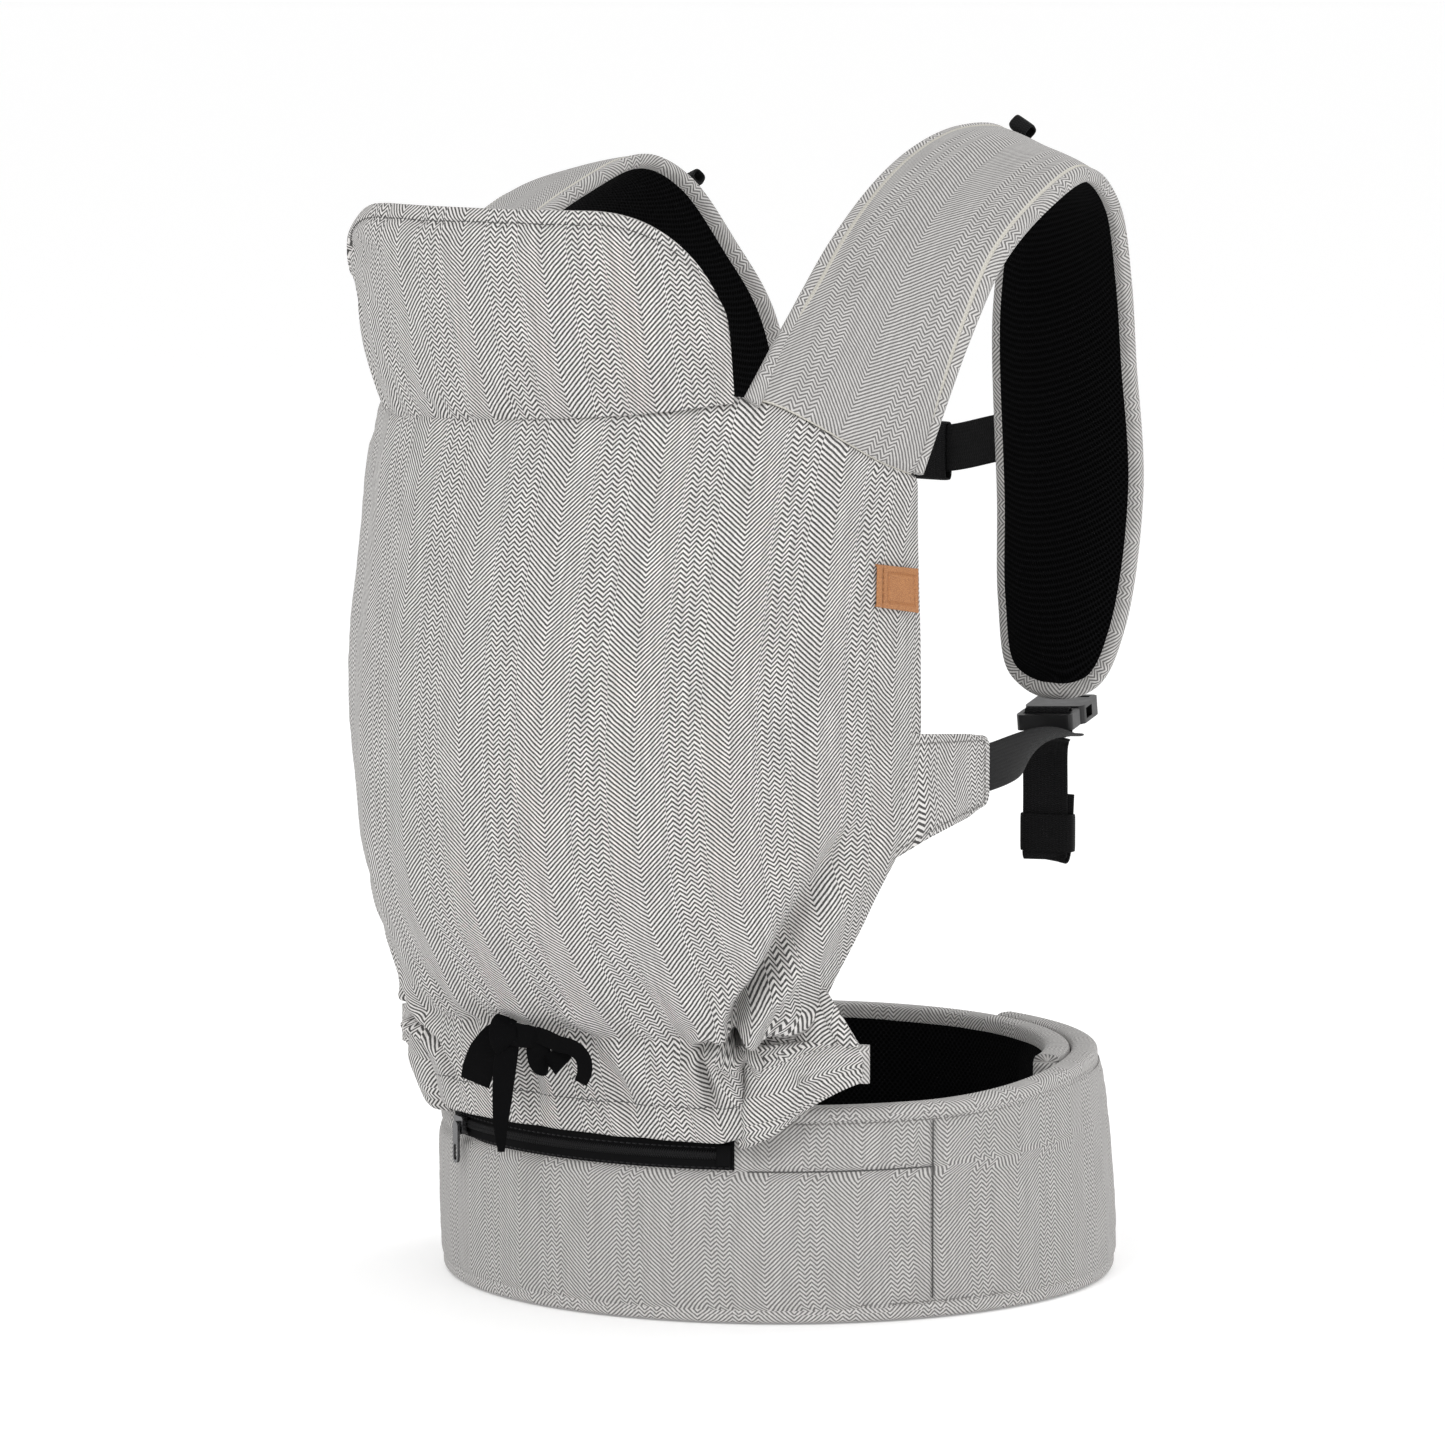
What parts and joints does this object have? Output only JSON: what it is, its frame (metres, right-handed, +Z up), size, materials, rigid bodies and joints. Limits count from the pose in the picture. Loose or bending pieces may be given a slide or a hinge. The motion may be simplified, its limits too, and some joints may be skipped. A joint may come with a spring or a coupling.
{
  "type": "soft baby carrier",
  "caption": "Soft baby carrier: padded waist belt, gathered herringbone front panel with headrest, padded shoulder straps with chest strap and side-release buckles.",
  "frame": {"origin": "middle of the bounding box, on the plane the waist belt rests on", "axes": "+Z up; -Y out of the front panel, away from the wearer; +X to the right when facing the front panel"},
  "size_m": [0.3834, 0.4502, 0.6138],
  "materials": {
    "woven": "light grey herringbone twill, matte",
    "mesh": "black spacer mesh, matte",
    "foam": "open-cell foam",
    "webbing": "ribbed black webbing, matte",
    "plastic": "satin black",
    "leather": "tan full-grain, satin",
    "zip_tape": "black woven tape and coil, matte",
    "zip_metal": "dark plated metal, bright",
    "ribbon": "black woven ribbon, matte"
  },
  "bodies": {
    "belt": {"belt_cover": "woven", "belt_foam": "foam", "belt_lining": "mesh", "belt_bottom_binding": "woven", "belt_top_binding": "woven", "zip_tape": "zip_tape", "zip_chain": "zip_tape", "waist_webbing_right": "webbing", "waist_webbing_left": "webbing", "waist_socket": "plastic"},
    "panel": {"front_panel": "woven", "side_wing_right": "woven", "side_wing_left": "woven", "leg_pad_right": "woven", "leg_pad_left": "woven", "leather_tag": "leather", "drawstring_bow": "ribbon", "shoulder_webbing_right": "webbing", "shoulder_webbing_left": "webbing"},
    "headrest": {"headrest": "woven"},
    "strap_right": {"strap_cover_right": "woven", "strap_foam_right": "foam", "strap_mesh_right": "mesh", "strap_binding_right": "woven", "hood_loop_right": "webbing", "shoulder_socket_right": "plastic"},
    "strap_left": {"strap_cover_left": "woven", "strap_foam_left": "foam", "strap_mesh_left": "mesh", "strap_binding_left": "woven", "hood_loop_left": "webbing", "shoulder_socket_left": "plastic"},
    "shoulder_plug_right": {"shoulder_plug_right": "plastic"},
    "shoulder_prong_a_right": {"shoulder_prong_a_right": "plastic"},
    "shoulder_prong_b_right": {"shoulder_prong_b_right": "plastic"},
    "tail_right": {"shoulder_tail_right": "webbing"},
    "tail_keeper_right": {"tail_keeper_right": "webbing"},
    "shoulder_plug_left": {"shoulder_plug_left": "plastic"},
    "shoulder_prong_a_left": {"shoulder_prong_a_left": "plastic"},
    "shoulder_prong_b_left": {"shoulder_prong_b_left": "plastic"},
    "tail_left": {"shoulder_tail_left": "webbing"},
    "tail_keeper_left": {"tail_keeper_left": "webbing"},
    "chest_right": {"chest_webbing_right": "webbing", "chest_socket": "plastic", "chest_adjuster_right": "plastic"},
    "chest_left": {"chest_webbing_left": "webbing", "chest_adjuster_left": "plastic"},
    "chest_keeper": {"chest_keeper": "webbing"},
    "chest_plug": {"chest_plug": "plastic"},
    "chest_prong_a": {"chest_prong_a": "plastic"},
    "chest_prong_b": {"chest_prong_b": "plastic"},
    "waist_plug": {"waist_plug": "plastic"},
    "waist_prong_a": {"waist_prong_a": "plastic"},
    "waist_prong_b": {"waist_prong_b": "plastic"},
    "waist_keeper": {"waist_keeper": "webbing"},
    "zip_slider": {"zip_slider": "zip_metal"},
    "zip_pull": {"zip_pull": "zip_metal"},
    "drawstring_tail": {"drawstring_tail": "ribbon"}
  },
  "joints": [
    {"name": "panel_tilt", "type": "hinge", "parent": "belt", "child": "panel", "pos_m": [0, -0.14037, 0.104], "axis": [1, 0, 0], "range_deg": [-8, 12]},
    {"name": "headrest_fold", "type": "hinge", "parent": "panel", "child": "headrest", "pos_m": [0, -0.19637, 0.4625], "axis": [1, 0, 0], "range_deg": [0, 35]},
    {"name": "strap_swing_right", "type": "hinge", "parent": "panel", "child": "strap_right", "pos_m": [0, -0.14537, 0.474], "axis": [1, 0, 0], "range_deg": [0, 14]},
    {"name": "strap_swing_left", "type": "hinge", "parent": "panel", "child": "strap_left", "pos_m": [0, -0.14537, 0.474], "axis": [1, 0, 0], "range_deg": [0, 14]},
    {"name": "shoulder_release_right", "type": "slide", "parent": "strap_right", "child": "shoulder_plug_right", "axis": [0.3047, -0.9446, -0.1219], "range_m": [0, 0.018]},
    {"name": "shoulder_squeeze_right", "type": "hinge", "parent": "shoulder_plug_right", "child": "shoulder_prong_a_right", "pos_m": [0.11427, 0.14647, 0.29184], "axis": [0.0026, -0.1272, 0.9919], "range_deg": [0, 7], "stiffness_Nm_per_rad": 0.02},
    {"name": "shoulder_squeeze_b_right", "type": "hinge", "parent": "shoulder_plug_right", "child": "shoulder_prong_b_right", "pos_m": [0.09579, 0.1406, 0.29114], "axis": [0.0026, -0.1272, 0.9919], "range_deg": [-7, 0], "stiffness_Nm_per_rad": 0.02},
    {"name": "tail_swing_right", "type": "hinge", "parent": "shoulder_plug_right", "child": "tail_right", "pos_m": [0.1065, 0.13363, 0.277], "axis": [0.9536, 0.3011, 0], "range_deg": [-25, 25]},
    {"name": "tail_keeper_slide_right", "type": "slide", "parent": "tail_right", "child": "tail_keeper_right", "axis": [0, 0, 1], "range_m": [-0.006, 0.03]},
    {"name": "shoulder_release_left", "type": "slide", "parent": "strap_left", "child": "shoulder_plug_left", "axis": [-0.3047, -0.9446, -0.1219], "range_m": [0, 0.018]},
    {"name": "shoulder_squeeze_left", "type": "hinge", "parent": "shoulder_plug_left", "child": "shoulder_prong_a_left", "pos_m": [-0.09579, 0.1406, 0.29114], "axis": [-0.0026, -0.1272, 0.9919], "range_deg": [0, 7], "stiffness_Nm_per_rad": 0.02},
    {"name": "shoulder_squeeze_b_left", "type": "hinge", "parent": "shoulder_plug_left", "child": "shoulder_prong_b_left", "pos_m": [-0.11427, 0.14647, 0.29184], "axis": [-0.0026, -0.1272, 0.9919], "range_deg": [-7, 0], "stiffness_Nm_per_rad": 0.02},
    {"name": "tail_swing_left", "type": "hinge", "parent": "shoulder_plug_left", "child": "tail_left", "pos_m": [-0.1065, 0.13363, 0.277], "axis": [0.9536, -0.3011, 0], "range_deg": [-25, 25]},
    {"name": "tail_keeper_slide_left", "type": "slide", "parent": "tail_left", "child": "tail_keeper_left", "axis": [0, 0, 1], "range_m": [-0.006, 0.03]},
    {"name": "chest_height_right", "type": "slide", "parent": "strap_right", "child": "chest_right", "axis": [0, -0.1302, 0.9915], "range_m": [-0.035, 0.035]},
    {"name": "chest_height_left", "type": "slide", "parent": "strap_left", "child": "chest_left", "axis": [0, -0.1302, 0.9915], "range_m": [-0.035, 0.035]},
    {"name": "chest_keeper_slide", "type": "slide", "parent": "chest_right", "child": "chest_keeper", "axis": [0.9968, 0, 0.0797], "range_m": [-0.004, 0.004]},
    {"name": "chest_release", "type": "slide", "parent": "chest_right", "child": "chest_plug", "axis": [-1, 0, 0], "range_m": [0, 0.018]},
    {"name": "chest_squeeze", "type": "hinge", "parent": "chest_plug", "child": "chest_prong_a", "pos_m": [-0.0361, 0.16763, 0.4357], "axis": [0, 1, 0], "range_deg": [0, 7], "stiffness_Nm_per_rad": 0.02},
    {"name": "chest_squeeze_b", "type": "hinge", "parent": "chest_plug", "child": "chest_prong_b", "pos_m": [-0.0361, 0.16763, 0.4163], "axis": [0, 1, 0], "range_deg": [-7, 0], "stiffness_Nm_per_rad": 0.02},
    {"name": "waist_release", "type": "slide", "parent": "belt", "child": "waist_plug", "axis": [-0.9945, -0.1045, 0], "range_m": [0, 0.018]},
    {"name": "waist_squeeze", "type": "hinge", "parent": "waist_plug", "child": "waist_prong_a", "pos_m": [-0.0185, 0.21566, 0.07074], "axis": [-0.1045, 0.9945, 0], "range_deg": [0, 7], "stiffness_Nm_per_rad": 0.02},
    {"name": "waist_squeeze_b", "type": "hinge", "parent": "waist_plug", "child": "waist_prong_b", "pos_m": [-0.0185, 0.21566, 0.04126], "axis": [-0.1045, 0.9945, 0], "range_deg": [-7, 0], "stiffness_Nm_per_rad": 0.02},
    {"name": "waist_keeper_slide", "type": "hinge", "parent": "belt", "child": "waist_keeper", "pos_m": [0, 0.04063, 0.056], "axis": [0, 0, 1], "range_deg": [-2.5, 2]},
    {"name": "zip_travel", "type": "hinge", "parent": "belt", "child": "zip_slider", "pos_m": [0, 0.04063, 0.0865], "axis": [0, 0, 1], "range_deg": [0, 56]},
    {"name": "zip_pull_swing", "type": "hinge", "parent": "zip_slider", "child": "zip_pull", "pos_m": [-0.0869, -0.1228, 0.0885], "axis": [-0.8829, 0.4695, 0], "range_deg": [0, 100]},
    {"name": "drawstring_swing", "type": "hinge", "parent": "panel", "child": "drawstring_tail", "pos_m": [-0.011, -0.17587, 0.14], "axis": [-1, 0, 0], "range_deg": [-4, 35]}
  ],
  "couplings": [
    {"joint": "strap_swing_left", "follows": "strap_swing_right", "ratio": 1},
    {"joint": "shoulder_squeeze_b_right", "follows": "shoulder_squeeze_right", "ratio": -1},
    {"joint": "shoulder_squeeze_b_left", "follows": "shoulder_squeeze_left", "ratio": -1},
    {"joint": "chest_height_left", "follows": "chest_height_right", "ratio": 1},
    {"joint": "chest_squeeze_b", "follows": "chest_squeeze", "ratio": -1},
    {"joint": "waist_squeeze_b", "follows": "waist_squeeze", "ratio": -1}
  ]
}
